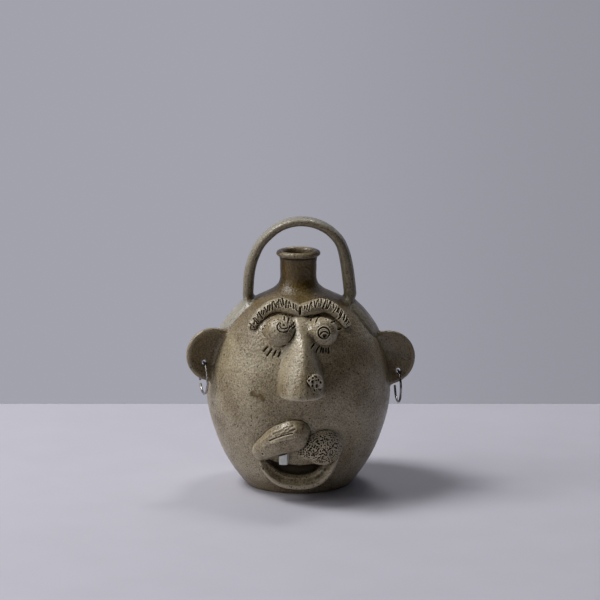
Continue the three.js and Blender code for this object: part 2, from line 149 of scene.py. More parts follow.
def packed_meridian():
    """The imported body's front meridian as (radius, height), from the foot's outside to the inner floor."""
    work = bmesh.new()
    work.from_mesh(frame["nodes"]["jug_body"].data)
    bmesh.ops.remove_doubles(work, verts=work.verts, dist=WELD * MM)
    front = [vert for vert in work.verts if abs(vert.co.x) < OFF_PLANE * MM and vert.co.y < -OFF_AXIS * MM]
    here = min(front, key=lambda vert: (round(vert.co.z / MM, 2), vert.co.y))
    chain = [here]
    while here is not None:
        beside = [edge.other_vert(here) for edge in here.link_edges]
        ahead = [vert for vert in beside if vert in front and vert not in chain]
        here = min(ahead, key=lambda vert: (vert.co - here.co).length) if ahead else None
        if here is not None:
            chain.append(here)
    line = np.array([(-vert.co.y, vert.co.z) for vert in chain]) / MM
    work.free()
    return line


def smooth_line(line, spacing):
    """A curve through a line's points, sampled about a spacing apart."""
    out = []
    padded = np.vstack([2 * line[0] - line[1], line, 2 * line[-1] - line[-2]])
    for before, start, end, after in zip(padded, padded[1:], padded[2:], padded[3:]):
        length = np.linalg.norm(end - start)
        lengths = np.linalg.norm([start - before, end - start, after - end], axis=1)
        leave = ((start - before) / lengths[0] + (end - start) / lengths[1]) / 2 * length
        arrive = ((end - start) / lengths[1] + (after - end) / lengths[2]) / 2 * length
        for t in np.arange(0, 1, 1 / max(1, round(length / spacing))):
            bend = 2 * (start - end) + leave + arrive
            turn = 3 * (end - start) - 2 * leave - arrive
            out.append(start + leave * t + turn * t**2 + bend * t**3)
    return np.array([*out, line[-1]])


meridian = packed_meridian()
lip_top = int(np.argmax(meridian[:, 1]))
outer_line = smooth_line(meridian[: lip_top + 1], OUTER_SPACING)
inner_line = smooth_line(meridian[lip_top:], INNER_SPACING)


def wall_radius(height):
    return np.interp(height, outer_line[:, 1], outer_line[:, 0])


WALL_REACH = 30  # how far from the wall its distance is worked out


def wall_distance(radii, heights):
    """Signed distances from the smooth outer wall, for each radius at each height."""
    starts, ends = outer_line[:-1], outer_line[1:]
    runs = ends - starts
    squares = (runs**2).sum(1)
    table = np.empty((len(radii), len(heights)), np.float32)
    for column, height in enumerate(heights):
        near = np.abs(starts[:, 1] - height) < WALL_REACH
        start, run, square = starts[near], runs[near], squares[near]
        across = radii[:, None] - start[:, 0]
        up = height - start[:, 1]
        share = np.clip((across * run[:, 0] + up * run[:, 1]) / square, 0, 1)
        gaps = np.hypot(across - share * run[:, 0], up - share * run[:, 1])
        table[:, column] = gaps.min(1) if len(start) else WALL_REACH
    within = (heights > 0) & (heights < outer_line[-1, 1])
    inside = (radii[:, None] < wall_radius(heights)[None, :]) & within
    return np.clip(np.where(inside, -table, table), -WALL_REACH, WALL_REACH)


# How uneven the clay is. Each row of waves: how many, their length in mm and how deep they go in all.
WALL_WAVES = (7, 46, 0.5)
LUMP_WAVES = (14, 11, 0.34)
WAVE_SPREAD = (0.7, 1.5)  # the shortest and the longest wave, in shares of that length
COLLAR_GROOVE = (213, 1.5, 1.0)  # its height, half width and depth
THROWING_PITCH = 5.2
THROWING_DEPTH = 0.05
THROWING_SWAY = (0.6, 0.05)  # how far the rings sway, in radians, and how fast across the jug


def make_waves(seed, count, length, depth):
    """Waves in all directions, as wave vectors, phases and one depth each."""
    chance = np.random.default_rng(seed)
    ways = chance.normal(size=(count, 3))
    ways /= np.linalg.norm(ways, axis=1)[:, None]
    lengths = length * chance.uniform(*WAVE_SPREAD, count)
    phases = chance.uniform(0, 2 * math.pi, count)
    return ways * (2 * math.pi / lengths)[:, None], phases, depth / (2 * count)


wall_waves = make_waves(3, *WALL_WAVES)
lump_waves = make_waves(8, *LUMP_WAVES)


def waves_depth(waves, x, y, z):
    """How far in the waves lie at each place, from none to their whole depth."""
    ways, phases, depth = waves
    total = 0
    for way, phase in zip(ways.astype(np.float32), phases):
        total = total + 1 + np.sin(way[0] * x + way[1] * y + way[2] * z + np.float32(phase))
    return depth * total


def wall_unevenness(x, y, z):
    sway, rate = THROWING_SWAY
    rings = 1 + np.sin(2 * math.pi * z / THROWING_PITCH + sway * np.sin(rate * x))
    return waves_depth(wall_waves, x, y, z) + THROWING_DEPTH * rings + collar_groove(z)


def collar_groove(z):
    """How deep the groove under the rolled collar is at each height."""
    height, half_width, depth = COLLAR_GROOVE
    return depth * np.exp(-(((z - height) / half_width) ** 2))


# What is pressed into the clay. A mark is a path on the surface, the way out of it, a half width and a
# depth, less than nothing for a ridge. Sharp marks have steep sides, and a rim stands up round some.

MARK_REACH = 4
MARK_FADE = 1.5  # a mark's depth ends this far below it
RIM_PLACE = 1.35  # where a rim stands and how wide it is, in a mark's half widths
RIM_WIDTH = 0.45
ROUND, STEEP = 2, 4  # how sharp a mark is
marks = []
stains = []


def surface_place(pixel, nodes):
    """Where the camera sees a pixel of the photograph on one of the nodes, and the way out of it there."""
    eye, way = photo_ray(pixel)
    hits = [trees[node].ray_cast(eye, way) for node in nodes]
    hits = [hit for hit in hits if hit[0] is not None]
    if not hits:
        near = [trees[node].find_nearest(eye + way * (AIM / MM - eye).dot(way)) for node in nodes]
        place, normal = min(near, key=lambda hit: hit[3])[:2]
    else:
        place, normal = min(hits, key=lambda hit: hit[3])[:2]
    return np.array(place), np.array(normal)


def path_on(pixels, nodes):
    """A path over the nodes along pixels of the photograph, and the way out of it."""
    found = [surface_place(pixel, nodes) for pixel in pixels]
    normal = sum(normal for place, normal in found)
    return np.array([place for place, normal in found]), normal / np.linalg.norm(normal)


def add_mark(path, normal, nodes, half_width, depth, sharp, rim):
    marks.append({
        "path": path, "normal": normal, "into": nodes, "half_width": half_width, "depth": depth,
        "sharp": sharp, "rim": rim,
    })


def press(pixels, nodes, half_width, depth, sharp=ROUND, rim=0):
    """Presses a mark into the nodes along pixels of the photograph."""
    path, normal = path_on(pixels, nodes)
    add_mark(path, normal, nodes, half_width, depth, sharp, rim)


def path_distance(points, path, normal):
    """How far points lie from a path, seen along its normal, and how far below the path they are."""
    best = np.full(len(points), np.inf)
    below = np.zeros(len(points))
    for start, end in zip(path, path[1:] if len(path) > 1 else path):
        run = end - start
        flat_run = run - run @ normal * normal
        share = np.clip((points - start) @ flat_run / max(flat_run @ flat_run, 1e-9), 0, 1)
        gap = points - start - np.outer(share, run)
        height = gap @ normal
        away = np.linalg.norm(gap - np.outer(height, normal), axis=1)
        nearer = away < best
        best[nearer], below[nearer] = away[nearer], -height[nearer]
    return best, below


def pressed_depth(points, node):
    """How deep each point lies under the marks, and how far rims stand up there, as one depth."""
    depth = np.zeros(len(points), np.float32)
    rise = np.zeros(len(points), np.float32)
    for mark in (mark for mark in marks if node in mark["into"]):
        path, reach = mark["path"], MARK_REACH + mark["half_width"]
        near = np.flatnonzero(((points > path.min(0) - reach) & (points < path.max(0) + reach)).all(1))
        if not len(near):
            continue
        away, below = path_distance(points[near], path, mark["normal"])
        away /= mark["half_width"]
        deep = abs(mark["depth"]) + MARK_FADE
        fade = 1 - smooth_step(below, deep, deep + MARK_FADE)
        profile = fade * (1 - np.clip(away, 0, 1) ** mark["sharp"])
        depth[near] = np.maximum(depth[near], mark["depth"] * profile)
        ridge = smooth_step(1 - np.abs(away - RIM_PLACE) / RIM_WIDTH, 0, 1)
        rise[near] = np.maximum(rise[near], np.maximum(mark["rim"] * ridge, -mark["depth"] * profile))
    return depth - np.where(depth > 0, 0, rise)


# Fine surfaces from signed distances

BAND = 9.5  # how far from a form its distance is worked out, more than the widest fillet
SKIN_DEPTH = 2  # how far a piece goes into the wall
SEAM_RISE = 0.12  # a piece ends where its fillet stands less than this above the wall
SEAM_SLOPE = 20
SHARE_SLOPE = 0.6  # how fast a piece dives under its neighbour past the line between them
SHARE_END = 1  # and how far past that line it ends
MARGIN = 8.5  # how far the sample places go past a piece
MARGIN_LEFT = 1  # and how far from their border its clay ends
MARKED_BAND = 3  # how near to the clay's surface the marks are worked out
WALL_STEP = 0.4
BLUR_REACH = 2.6
EDGE_BLUR = 0.9
EDGE_DEPTH = 0.22


class Block:
    """Evenly spaced sample places in a box, which hold distances in mm."""

    def __init__(self, low, high, pitch):
        self.pitch = pitch
        self.first = np.floor(low / pitch).astype(int)
        self.shape = tuple(np.ceil(high / pitch).astype(int) - self.first + 1)
        self.corner = tuple(int(start) for start in self.first)
        self.axes = [
            ((start + np.arange(count)) * pitch).astype(np.float32)
            for start, count in zip(self.first, self.shape)
        ]

    def places(self):
        return np.meshgrid(*self.axes, indexing="ij", sparse=True)

    def form_distance(self, form):
        points, triangles = form
        out = np.full(self.shape, BAND, np.float32)
        level = openvdb.FloatGrid.createLevelSetFromPolygons(
            points,
            triangles=triangles,
            transform=openvdb.createLinearTransform(voxelSize=self.pitch),
            halfWidth=BAND / self.pitch,
        )
        level.copyToArray(out, ijk=self.corner)
        return out

    def wall_distance(self):
        x, y, z = self.places()
        radii = np.arange(0, float(np.hypot(np.abs(x).max(), np.abs(y).max())) + 1, WALL_STEP)
        table = wall_distance(radii, self.axes[2])
        around = np.hypot(x, y)[:, :, 0]
        columns = [np.interp(around, radii, table[:, k]) for k in range(self.shape[2])]
        return np.stack(columns, axis=2).astype(np.float32) + wall_unevenness(x, y, z)

    def soften(self, field, size):
        """The field blurred over a size in mm."""
        sigma = size / self.pitch
        reach = int(BLUR_REACH * sigma) + 1
        weights = np.exp(-0.5 * (np.arange(-reach, reach + 1) / sigma) ** 2)
        weights = (weights / weights.sum()).astype(np.float32)
        for axis in range(3):
            padding = [(reach, reach) if k == axis else (0, 0) for k in range(3)]
            padded = np.pad(field, padding, mode="edge")
            count = field.shape[axis]
            field = sum(
                weight * np.take(padded, range(start, start + count), axis=axis)
                for start, weight in enumerate(weights)
            )
        return field

    def sample(self, field, points):
        """The field at points, evened between its eight neighbours."""
        place = points / self.pitch - self.first
        low = np.clip(np.floor(place).astype(int), 0, np.array(self.shape) - 2)
        part = place - low
        total = np.zeros(len(points), np.float32)
        for corner in np.ndindex(2, 2, 2):
            weight = np.prod(np.where(corner, part, 1 - part), axis=1)
            total += weight * field[tuple((low + corner).T)]
        return total

    def surface(self, field):
        grid = openvdb.FloatGrid(background=BAND)
        grid.copyFromArray(np.ascontiguousarray(field, np.float32), ijk=self.corner)
        grid.transform = openvdb.createLinearTransform(voxelSize=self.pitch)
        points, quads = grid.convertToQuads(0.0)
        return main_island(points, quads)


def main_island(points, quads):
    """The surface without the crumbs that a cut can leave."""
    label = np.arange(len(points))
    while True:
        spread = label.copy()
        np.minimum.at(spread, quads.ravel(), np.repeat(label[quads].min(1), quads.shape[1]))
        spread = spread[spread]
        if (spread == label).all():
            break
        label = spread
    names, counts = np.unique(label, return_counts=True)
    kept = label == names[np.argmax(counts)]
    index = np.cumsum(kept) - 1
    return points[kept], index[quads[kept[quads[:, 0]]]]


def smooth_union(first, second, width):
    """Two forms grown together with a fillet about a width across."""
    near = np.clip(1 - np.abs(first - second) / width, 0, 1)
    return np.minimum(first, second) - width * near * near / 4


def smooth_step(value, low, high):
    share = np.clip((value - low) / (high - low), 0, 1)
    return share * share * (3 - 2 * share)


# How each piece is made: the spacing of its surface's points, how much its packed facets are softened, and
# the width of its fillet on what carries it. The eyes and the nose blend more on the side of their lid.

LOOKS = {
    "handle": {"pitch": 0.6, "soften": 1.0, "fillet": 6.0, "slot": "handle_glaze"},
    "ear_left": {"pitch": 0.45, "soften": 0.9, "fillet": 5.0},
    "ear_right": {"pitch": 0.45, "soften": 0.9, "fillet": 5.0},
    "nose": {
        "pitch": 0.45, "soften": 1.2, "fillet": 4.5,
        "lid": (-0.45, 1), "lid_span": (-0.15, 0.8), "lid_fillet": 9,
    },
    "nose_wart": {"pitch": 0.25, "soften": 0.5, "fillet": 1.0},
    "brow": {"pitch": 0.36, "soften": 0.7, "fillet": 1.4},
    "eye_left": {"pitch": 0.32, "soften": 0.8, "fillet": 0.8, "lid": (-0.5, 0.86), "lid_fillet": 7.4},
    "eye_right": {"pitch": 0.32, "soften": 0.8, "fillet": 0.8, "lid": (-0.6, 0.8), "lid_fillet": 7.4},
    "upper_lip_left": {"pitch": 0.4, "soften": 1.0, "fillet": 2.4},
    "upper_lip_right": {"pitch": 0.34, "soften": 0.9, "fillet": 1.8},
    "lower_lip": {"pitch": 0.45, "soften": 1.0, "fillet": 2.2},
    "tooth": {"pitch": 0.3, "soften": 0.55, "fillet": 0.7, "slot": "white_glaze"},
}
LID_SPAN = (-0.15, 0.75)  # where a lid's wide fillet starts and is whole, from a piece's middle to its edge


def node_span(node):
    low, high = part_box(node)
    return np.array(low) / MM, np.array(high) / MM


def fillet_width(block, node):
    """The width of a node's fillet, wider on the side of its lid where it has one."""
    look = LOOKS[node]
    if "lid" not in look:
        return look["fillet"]
    low, high = node_span(node)
    middle = (low + high) / 2
    x, _, z = block.places()
    side = ((x - middle[0]) * look["lid"][0] + (z - middle[2]) * look["lid"][1]) / ((high - low)[2] / 2)
    share = smooth_step(side, *look.get("lid_span", LID_SPAN))
    return look["fillet"] + share * (look["lid_fillet"] - look["fillet"])


def clay_fields(node, block):
    """The distances of all the clay near a piece, grown together, and of the piece's own share of it."""
    wall = block.wall_distance()
    block_low = block.first * block.pitch
    block_high = block_low + np.array(block.shape) * block.pitch
    clay, own, others = wall, None, np.full(block.shape, BAND, np.float32)
    for name in CLAY:
        low, high = node_span(name)
        if (low - MARGIN > block_high).any() or (high + MARGIN < block_low).any():
            continue
        piece = block.soften(block.form_distance(forms[name]), LOOKS[name]["soften"])
        clay = smooth_union(clay, piece, fillet_width(block, name))
        if name == node:
            own = piece
        else:
            others = np.minimum(others, piece)
    past = own - others
    seam = np.maximum(0, SEAM_RISE - (wall - clay)) * SEAM_SLOPE
    field = clay + seam + SHARE_SLOPE * np.clip(past, 0, None)
    field = np.maximum(field, past - SHARE_END)
    field = np.maximum(field, own - MARGIN + MARGIN_LEFT)
    return clay, np.maximum(field, -(wall + SKIN_DEPTH))


def clay_piece(node):
    """The fine mesh of one clay piece, with its pressed marks and its hand-made unevenness."""
    look = LOOKS[node]
    low, high = node_span(node)
    block = Block(low - MARGIN, high + MARGIN, look["pitch"])
    clay, field = clay_fields(node, block)
    band = np.abs(clay) < MARKED_BAND
    x, y, z = (np.broadcast_to(axis, block.shape)[band] for axis in block.places())
    depth = waves_depth(lump_waves, x, y, z) + pressed_depth(np.stack([x, y, z], axis=1), node)
    field[band] += depth
    clay[band] += depth
    edge = (block.soften(clay, EDGE_BLUR) - clay) / EDGE_DEPTH
    points, quads = block.surface(field)
    make_piece(node, points, quads.tolist(), block.sample(edge, points), look.get("slot", "stoneware"))


BROWN_PIECES = {"ear_left": 0.5, "ear_right": 0.5, "handle": 0.3}  # how brown their glaze is all over
NECK_BROWN_AND_SHADE = (140, 190, 0.97)  # from a height to a height, and how dark there: brown glaze on the neck, and painted shade on the neck under the collar and on the forehead under the handle
BROWN_FOOT = (16, 2, 0.4)
PALE_COLLAR = (211, 214, 0.65)  # and how much of the neck's brown and painted shade the collar is rid of
STAIN_DEPTH = 9  # how far below its path a stain still shows
STAIN_CORE = 0.55  # it fades from this share of its half width
BLOOM_AND_LIGHT_HEIGHT = 120  # the pale bloom, and painted light, lie on what faces away from here
BLOOM_AND_LIGHT_FACING = (0.4, 0.9)
BLOOM_AND_LIGHT_STRENGTH = 0.62
BLOOM_SHADE_SPAN = (0, 60)  # from here to here, to the right, it fades as painted shade on the side away from the lamps, to the share that is left
BLOOM_SHADE_LOSS = 0.75


def stain_and_shade(points, node):
    """How strongly each point takes the rust colour: the iron spots named below, brown glaze with painted
    shade on the neck and the forehead under the handle, and browner towards the foot.
    """
    total = np.full(len(points), BROWN_PIECES.get(node, 0), np.float32)
    if node == "jug_body":
        for start, end, strength in (NECK_BROWN_AND_SHADE, BROWN_FOOT):
            share = np.clip((points[:, 2] - start) / (end - start), 0, 1)
            total = np.maximum(total, strength * share)
        start, end, strength = PALE_COLLAR
        total *= 1 - strength * smooth_step(points[:, 2], start, end)
    for path, normal, into, half_width, strength in stains:
        if node not in into:
            continue
        away, below = path_distance(points, path, normal)
        share = (1 - smooth_step(away / half_width, STAIN_CORE, 1)) * (np.abs(below) < STAIN_DEPTH)
        total = np.maximum(total, strength * share)
    return total


def bloom_and_light(points, normals, slot):
    """How much pale salt bloom and painted light lies at each point, mostly on the strap's outer side and
    left root, less to the right as painted shade.
    """
    if slot != "handle_glaze":
        return np.zeros(len(points), np.float32)
    out = points * (1, 0, 1) - (0, 0, BLOOM_AND_LIGHT_HEIGHT)
    out /= np.linalg.norm(out, axis=1)[:, None]
    facing = smooth_step((normals * out).sum(1), *BLOOM_AND_LIGHT_FACING)
    shaded_side = smooth_step(points[:, 0], *BLOOM_SHADE_SPAN)
    return BLOOM_AND_LIGHT_STRENGTH * facing * (1 - BLOOM_SHADE_LOSS * shaded_side)


def stand_in(node, name, points, faces, slot):
    """A smooth mesh object that stands for a node and rides where it rode."""
    mesh = bpy.data.meshes.new(name)
    mesh.from_pydata((points * MM).tolist(), [], faces)
    mesh.polygons.foreach_set("use_smooth", np.ones(len(faces), bool))
    mesh.update()
    piece = bpy.data.objects.new(name, mesh)
    bpy.context.collection.objects.link(piece)
    mesh.materials.append(materials[slot])
    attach(piece, frame["nodes"][node]["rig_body"])
    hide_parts(node)
    return mesh


def make_piece(node, points, faces, edge, slot):
    """A clay piece's stand-in, which carries what the glaze needs to know at each of its points."""
    mesh = stand_in(node, node + "_clay", points, faces, slot)
    normals = np.empty(3 * len(points), np.float32)
    mesh.vertices.foreach_get("normal", normals)
    layers = {
        "edge": np.clip(edge, -1, 1),
        "stain": stain_and_shade(points, node),
        "bloom_and_light": bloom_and_light(points, normals.reshape(-1, 3), slot),
    }
    for name, values in layers.items():
        layer = mesh.attributes.new(name, "FLOAT", "POINT")
        layer.data.foreach_set("value", np.asarray(values, np.float32))


# The thrown body, as rings of points that are close together where the face is

FACE_TURN = math.radians(40)
FACE_STEP = math.radians(0.38)
BACK_STEP = math.radians(2.5)
WALL_ROW = 1.85
COLLAR_REACH = 12
CLOSE_ROWS = (  # from a height to a height, and how far apart the rows are there
    (128, 172, 0.54),
    (78, 96, 1.3),
    (meridian[lip_top, 1] - COLLAR_REACH, np.inf, 0.75),
)
UNDER_SHARES = (0.25, 0.5, 0.75, 0.93)
FLOOR_SHARES = (0.9, 0.6, 0.3)
ROUND_FOOT = 1.4  # the foot's edge is wiped round
FOOT_POINTS = 6
ROUNDED_SHARE = 1.2  # the wall's own rows start above this share of the foot's rounding
UNEVEN_HEIGHT = 5  # where the wall's unevenness has grown to its whole
DARK_DEPTH = 1.2  # a mark this deep is wholly dark: pooled glaze and painted shade in its hollow
# how dark the groove under the collar is made, as painted shade under the roll
DARK_GROOVE = 0.8


def outer_rows():
    """The outer wall's line in rows that are closer where there is more to show."""
    arc = np.concatenate([[0], np.cumsum(np.linalg.norm(np.diff(outer_line, axis=0), axis=1))])
    spacing = np.full(len(outer_line), WALL_ROW)
    for low, high, row in CLOSE_ROWS:
        spacing[(outer_line[:, 1] > low) & (outer_line[:, 1] < high)] = row
    rows = np.concatenate([[0], np.cumsum(np.diff(arc) / spacing[1:])])
    at = np.interp(np.linspace(0, rows[-1], int(rows[-1]) + 1), rows, arc)
    outside = np.stack([np.interp(at, arc, outer_line[:, 0]), np.interp(at, arc, outer_line[:, 1])], axis=1)
    return outside[outside[:, 1] > ROUND_FOOT * ROUNDED_SHARE]


def body_line():
    """The body's whole section as (radius, height), and each point's share of the wall's unevenness."""
    foot_radius = meridian[0][0]
    rounded = [
        (foot_radius - ROUND_FOOT * (1 - math.sin(angle)), ROUND_FOOT * (1 - math.cos(angle)))
        for angle in np.linspace(0, math.pi / 2, FOOT_POINTS)
    ]
    outside = outer_rows()
    underneath = [(share * (foot_radius - ROUND_FOOT), 0) for share in UNDER_SHARES]
    floor = [(share * inner_line[-1][0], inner_line[-1][1]) for share in FLOOR_SHARES]
    line = np.array([*underneath, *rounded, *outside, *inner_line[1:], *floor])
    first = len(underneath) + len(rounded)
    weight = np.zeros(len(line))
    weight[first : first + len(outside)] = smooth_step(outside[:, 1], ROUND_FOOT, UNEVEN_HEIGHT)
    return line, weight


def body_faces(rows, count):
    """Quads between rows of a count of points each, and triangles to the two middles that follow them."""
    quads = []
    for row in range(rows - 1):
        here = row * count + np.arange(count)
        beside = row * count + (np.arange(count) + 1) % count
        quads.append(np.stack([here, beside, beside + count, here + count], axis=1))
    faces = np.concatenate(quads).tolist()
    bottom, top = rows * count, rows * count + 1
    last = (rows - 1) * count
    for side in range(count):
        beside = (side + 1) % count
        faces.append([bottom, beside, side])
        faces.append([top, last + side, last + beside])
    return faces


def body_piece():
    front = np.arange(-FACE_TURN, FACE_TURN, FACE_STEP)
    back = np.arange(FACE_TURN, 2 * math.pi - FACE_TURN, BACK_STEP)
    turns = np.concatenate([front, back])
    line, line_weight = body_line()
    runs = np.gradient(line, axis=0)
    runs /= np.linalg.norm(runs, axis=1)[:, None]
    grid_radius, turn = np.meshgrid(line[:, 0], turns, indexing="ij")
    height = np.repeat(line[:, 1][:, None], len(turns), axis=1)
    out_radius = np.repeat(runs[:, 1][:, None], len(turns), axis=1)
    out_height = np.repeat(-runs[:, 0][:, None], len(turns), axis=1)
    x, y = grid_radius * np.sin(turn), -grid_radius * np.cos(turn)
    places = np.stack([x.ravel(), y.ravel(), height.ravel()], axis=1)
    outward = (out_radius * np.sin(turn), -out_radius * np.cos(turn), out_height)
    outward = np.stack([part.ravel() for part in outward], axis=1)
    weight = np.repeat(line_weight, len(turns))
    pressed = pressed_depth(places, "jug_body") * (weight > 0)
    depth = weight * wall_unevenness(*places.T) + pressed
    points = places - depth[:, None] * outward
    grooved = DARK_GROOVE * collar_groove(places[:, 2]) * (weight > 0)
    edge = -np.clip(pressed / DARK_DEPTH + grooved, 0, 1)
    points = np.vstack([points, [0, 0, 0], [0, 0, meridian[-1][1]]])
    faces = body_faces(len(line), len(turns))
    make_piece("jug_body", points, faces, np.append(edge, [0, 0]), "stoneware")


# The hoops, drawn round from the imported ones

HOOP_STEPS = 160
WIRE_SIDES = 20
BLUNT_END = 0.25  # how blunt the wire's ends are, as a share of its half thickness


def hoop_piece(node):
    """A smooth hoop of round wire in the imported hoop's place, open where that one is."""
    points = packed_form(node)[0]
    middle = points.mean(0)
    side = np.linalg.eigh(np.cov((points - middle).T))[1][:, 0]
    up = np.array([0, 0, 1]) - side * side[2]
    up /= np.linalg.norm(up)
    across = np.cross(side, up)
    flat = np.stack([(points - middle) @ across, (points - middle) @ up], axis=1)
    known = np.column_stack([2 * flat, np.ones(len(flat))])
    solved = np.linalg.lstsq(known, (flat**2).sum(1), rcond=None)[0]
    centre = middle + solved[0] * across + solved[1] * up
    away = np.linalg.norm(flat - solved[:2], axis=1)
    radius, wire = (away.max() + away.min()) / 2, (away.max() - away.min()) / 2
    turns = np.sort(np.arctan2(flat[:, 1] - solved[1], flat[:, 0] - solved[0]))
    gaps = np.diff(np.append(turns, turns[0] + 2 * math.pi))
    start = turns[(np.argmax(gaps) + 1) % len(turns)]
    length = 2 * math.pi - gaps.max()
    blunt = BLUNT_END * wire / radius
    rings = []
    for turn in np.linspace(start, start + length, HOOP_STEPS):
        out = across * math.cos(turn) + up * math.sin(turn)
        from_start = (turn - start + blunt) * radius / wire
        from_end = (start + length - turn + blunt) * radius / wire
        thick = wire * math.sqrt(1 - (1 - min(1, from_start, from_end)) ** 2)
        for angle in np.linspace(0, 2 * math.pi, WIRE_SIDES, endpoint=False):
            rings.append(centre + radius * out + thick * (math.cos(angle) * out + math.sin(angle) * side))
    faces = []
    for row in range(HOOP_STEPS - 1):
        for k in range(WIRE_SIDES):
            here, beside = row * WIRE_SIDES + k, row * WIRE_SIDES + (k + 1) % WIRE_SIDES
            faces.append([here, beside, beside + WIRE_SIDES, here + WIRE_SIDES])
    faces.append(list(range(WIRE_SIDES))[::-1])
    faces.append([(HOOP_STEPS - 1) * WIRE_SIDES + k for k in range(WIRE_SIDES)])
    stand_in(node, node + "_wire", np.array(rings), faces, "bright_wire")


# The finishes

class Finish:
    """A material and short calls that add and join its nodes. Sizes are in mm."""

    def __init__(self, name):
        self.material = bpy.data.materials.new(name)
        self.material.use_nodes = True
        self.tree = self.material.node_tree
        self.shader = self.tree.nodes["Principled BSDF"]
        self.place = self.tree.nodes.new("ShaderNodeTexCoord").outputs["Object"]

    def node(self, kind, settings=(), **inputs):
        made = self.tree.nodes.new("ShaderNode" + kind)
        for name, value in dict(settings).items():
            setattr(made, name, value)
        for name, value in inputs.items():
            self.feed(made.inputs[name.replace("_", " ")], value)
        return made

    def feed(self, socket, value):
        if isinstance(value, bpy.types.NodeSocket):
            self.tree.links.new(value, socket)
        else:
            socket.default_value = value

    def noise(self, size, detail=3, roughness=0.5):
        scale = 1 / (size * MM)
        made = self.node("TexNoise", Vector=self.place, Scale=scale, Detail=detail, Roughness=roughness)
        return made.outputs["Fac"]

    def cells(self, size, feature="F1"):
        return self.node("TexVoronoi", {"feature": feature}, Vector=self.place, Scale=1 / (size * MM))

    def between(self, value, low, high, start=0.0, end=1.0):
        made = self.node("MapRange", {"interpolation_type": "SMOOTHSTEP"}, Value=value)
        for name, number in (("From Min", low), ("From Max", high), ("To Min", start), ("To Max", end)):
            made.inputs[name].default_value = number
        return made.outputs["Result"]

    def product(self, first, second):
        made = self.node("Math", {"operation": "MULTIPLY"})
        self.feed(made.inputs[0], first)
        self.feed(made.inputs[1], second)
        return made.outputs[0]

    def mix(self, share, first, second):
        made = self.node("Mix", {"data_type": "RGBA"})
        self.feed(made.inputs[0], share)
        self.feed(made.inputs[6], first)
        self.feed(made.inputs[7], second)
        return made.outputs[2]

    def layer(self, name):
        return self.node("Attribute", {"attribute_name": name}).outputs["Fac"]

    def specks(self, size, radius, share):
        """Round specks in some of the cells of a scatter, from 0 to 1."""
        cell = self.cells(size)
        spot = self.between(cell.outputs["Distance"], radius * SPECK_CORE, radius, 1, 0)
        chance = self.node("SeparateColor", Color=cell.outputs["Color"]).outputs[0]
        return self.product(spot, self.between(chance, 1 - share, 1 - share + SPECK_STEP))

    def bump(self, height, distance, strength=1.0, normal=None):
        made = self.node("Bump", Height=height, Distance=distance * MM, Strength=strength)
        if normal is not None:
            self.feed(made.inputs["Normal"], normal)
        return made.outputs["Normal"]


BROWN_CLAY = (0.23, 0.18, 0.105, 1)
GREY_CLAY = (0.36, 0.303, 0.202, 1)
PALE_EDGE = (0.56, 0.49, 0.37, 1)
DARK_POOL_AND_SHADE = (0.028, 0.019, 0.01, 1)
IRON = (0.05, 0.032, 0.014, 1)
RUST_AND_SHADE = (0.095, 0.056, 0.007, 1)
PALE_BLOOM_AND_LIGHT = (0.47, 0.48, 0.45, 1)
HANDLE_PALE = (0.23, 0.205, 0.14, 1)
HANDLE_DARK = (0.11, 0.09, 0.054, 1)
WHITE_DULL = (0.66, 0.68, 0.66, 1)
WHITE_CLEAR = (0.82, 0.84, 0.82, 1)
WHITE_IN_HOLLOWS = (0.2, 0.18, 0.14, 1)
WIRE_DARK = (0.19, 0.18, 0.17, 1)
WIRE_BRIGHT = (0.5, 0.49, 0.48, 1)
SKY = (0.9, 0.93, 1, 1)
PATCH_SIZE = 34
GRAIN_SIZE = 1.4
PEEL_SIZE, PEEL_DEPTH = 2.2, 0.6  # the orange peel that the salt leaves
RIPPLE_SIZE, RIPPLE_DEPTH = 1.2, 0.2
SPECK_CORE = 0.55  # a speck is whole within this share of its radius
SPECK_STEP = 0.02
SPECKS = (  # the cells' size, the radius as a share of it, the share of the cells with one, the strength
    (5.2, 0.2, 0.7, 0.95),
    (3.2, 0.25, 0.55, 0.85),
    (2.1, 0.3, 0.4, 0.7),
)


def scaled(colour, share):
    return tuple(share * part for part in colour[:3]) + (1,)


